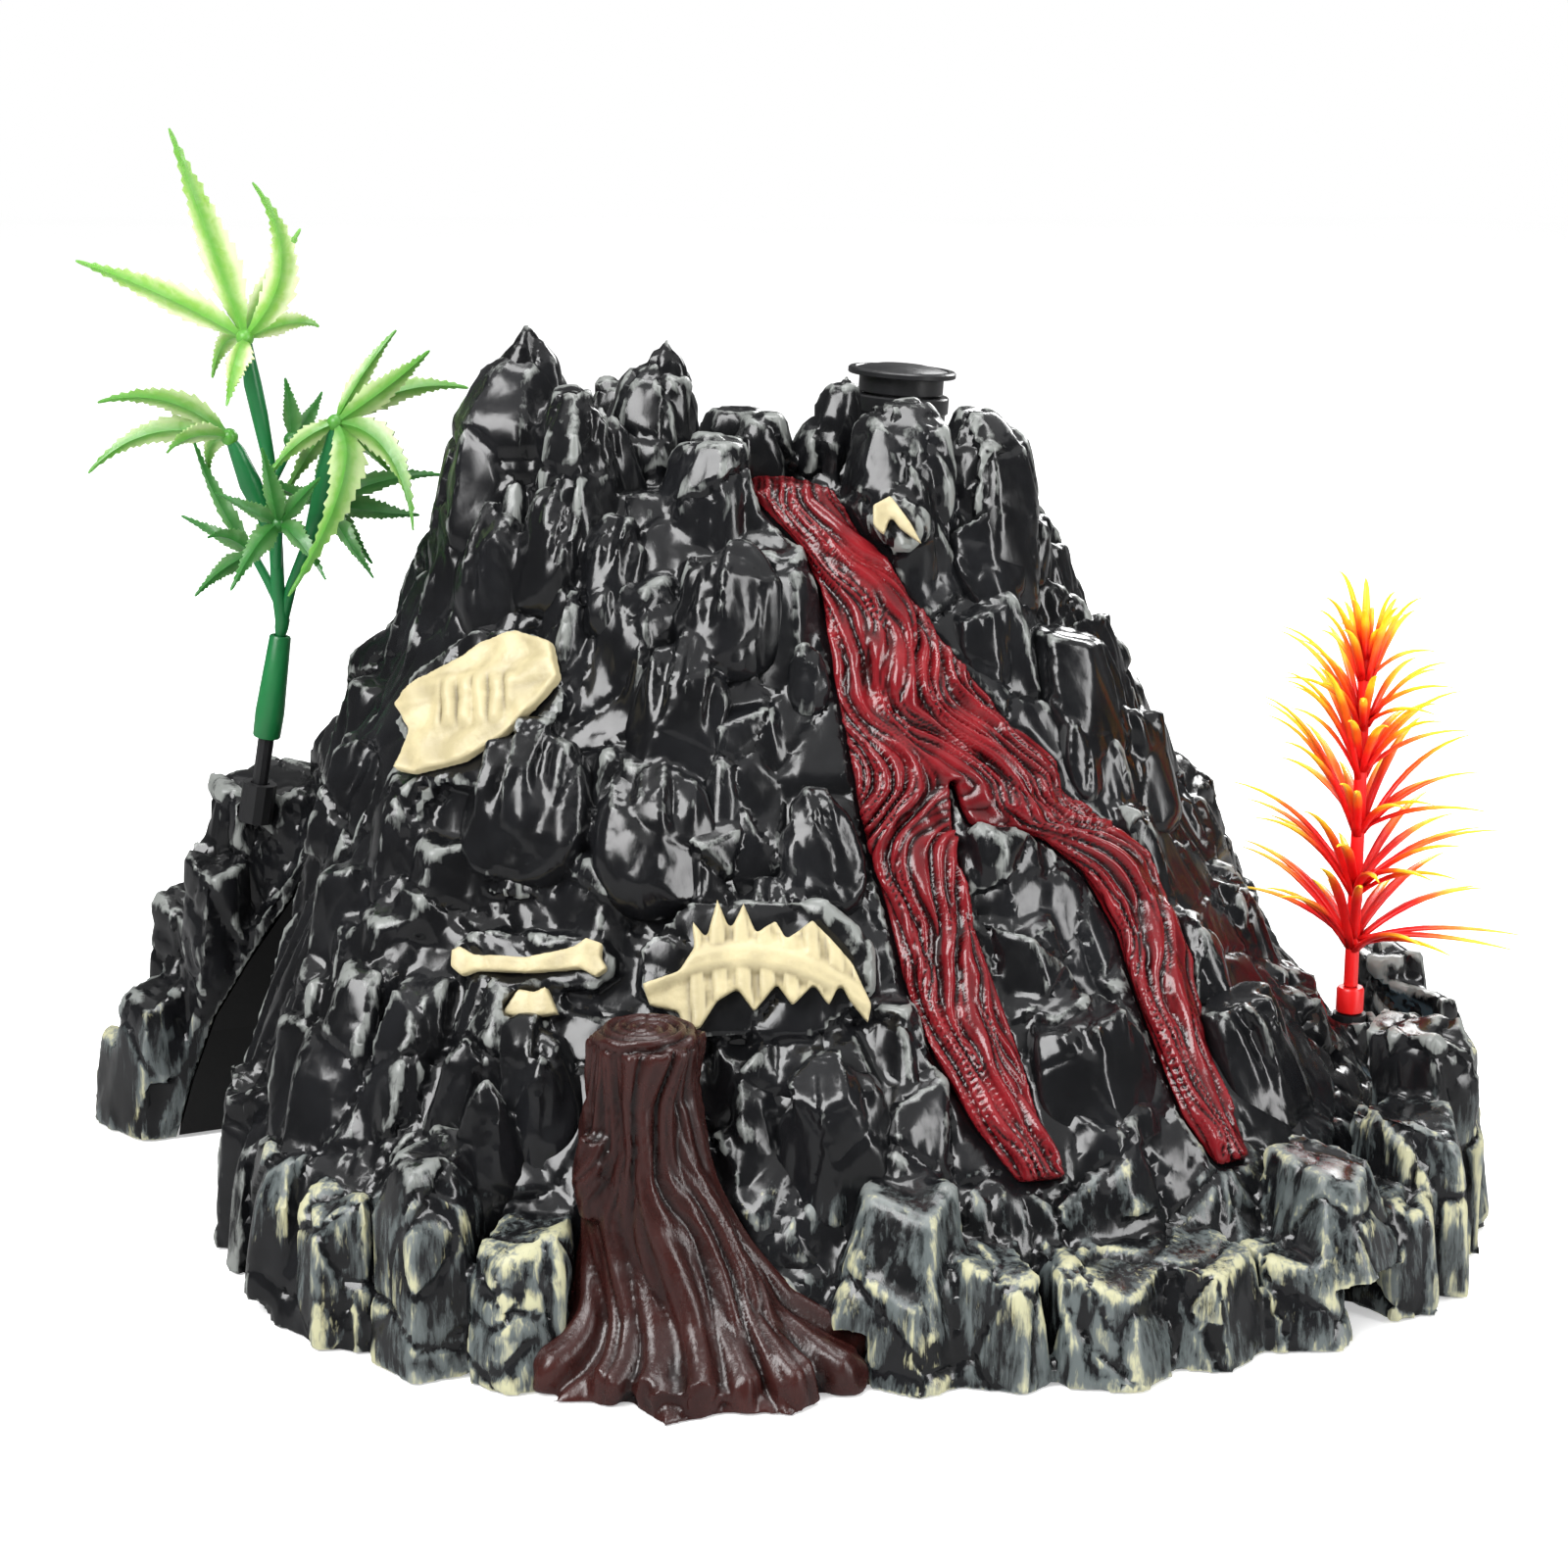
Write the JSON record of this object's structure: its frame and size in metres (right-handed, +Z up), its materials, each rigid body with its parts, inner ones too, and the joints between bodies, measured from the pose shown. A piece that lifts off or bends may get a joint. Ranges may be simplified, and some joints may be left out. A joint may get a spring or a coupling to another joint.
{
  "type": "bubbling aquarium ornament",
  "caption": "Volcano-shaped bubbling aquarium ornament: hollow rock shell with lava stream, cave, stump, fossils, two plug-in plants and a loose cap on the crater outlet.",
  "frame": {"origin": "middle of the base plate's underside, level with the rock's foot", "axes": "+Z up, the front with lava and stump faces -Y, the cave is towards -X and the pool towards +X"},
  "size_m": [0.2785, 0.2286, 0.1977],
  "materials": {
    "rock": "glossy near-black with ivory dry-brushed edges",
    "lava": "glossy dark red",
    "bark": "satin dark brown",
    "bone": "satin ivory",
    "black_moulding": "plain black",
    "satin_black": "satin black",
    "pool": "glossy pale blue-white",
    "ballast": "rough cast",
    "screw": "plain stainless",
    "clear_tube": "smooth",
    "grey_moulding": "plain",
    "air_stone": "rough porous",
    "hose": "smooth soft",
    "black_rubber": "matt",
    "white_fitting": "plain",
    "green_stem": "satin dark green",
    "green_leaf": "satin yellow-green with pale edges",
    "red_stem": "satin red",
    "red_needle": "satin red to yellow"
  },
  "bodies": {
    "ornament": {"rock_shell": "rock", "lava_stream": "lava", "tree_stump": "bark", "fossil_slab": "bone", "fossil_skeleton": "bone", "fossil_long_bone": "bone", "fossil_bone_chip": "bone", "fossil_claw": "bone", "cave_liner": "black_moulding", "pool_water": "pool", "base_plate": "black_moulding", "base_screw_1": "screw", "base_screw_2": "screw", "base_screw_3": "screw", "base_screw_4": "screw", "base_screw_5": "screw", "ballast_left": "ballast", "ballast_right": "ballast", "crater_stack": "satin_black", "riser_tube": "clear_tube", "bubble_hood": "grey_moulding", "air_stone": "air_stone", "air_hose": "hose", "inlet_grommet": "black_rubber", "inlet_fitting": "white_fitting", "green_socket": "black_rubber", "green_peg": "satin_black", "red_socket": "black_rubber"},
    "bubble_cap": {"bubble_cap": "satin_black"},
    "green_sleeve": {"green_sleeve": "green_stem"},
    "green_plant": {"green_stem": "green_stem", "green_leaves_top": "green_leaf", "green_leaves_left": "green_leaf", "green_leaves_right": "green_leaf", "green_leaves_low_right": "green_leaf", "green_leaves_low_left": "green_leaf", "green_leaves_front": "green_leaf", "green_leaves_pod": "green_leaf"},
    "red_foot": {"red_peg": "red_stem"},
    "red_plant": {"red_stem": "red_stem", "red_tier_1": "red_needle", "red_tier_2": "red_needle", "red_tier_3": "red_needle", "red_tier_4": "red_needle", "red_tier_5": "red_needle", "red_tier_6": "red_needle", "red_tier_7": "red_needle"}
  },
  "joints": [
    {"name": "cap_lift", "type": "slide", "parent": "ornament", "child": "bubble_cap", "axis": [0.0698, 0, 0.9976], "range_m": [0, 0.016]},
    {"name": "green_pull", "type": "slide", "parent": "ornament", "child": "green_sleeve", "axis": [0.1736, 0, 0.9848], "range_m": [0, 0.014]},
    {"name": "green_turn", "type": "hinge", "parent": "green_sleeve", "child": "green_plant", "pos_m": [-0.1033, 0.02, 0.071], "axis": [0.1736, 0, 0.9848], "range_deg": [-90, 90]},
    {"name": "red_pull", "type": "slide", "parent": "ornament", "child": "red_foot", "axis": [0, 0, 1], "range_m": [0, 0.008]},
    {"name": "red_turn", "type": "hinge", "parent": "red_foot", "child": "red_plant", "pos_m": [0.1076, -0.009, 0.033], "axis": [0, 0, 1], "range_deg": [-45, 15]}
  ]
}
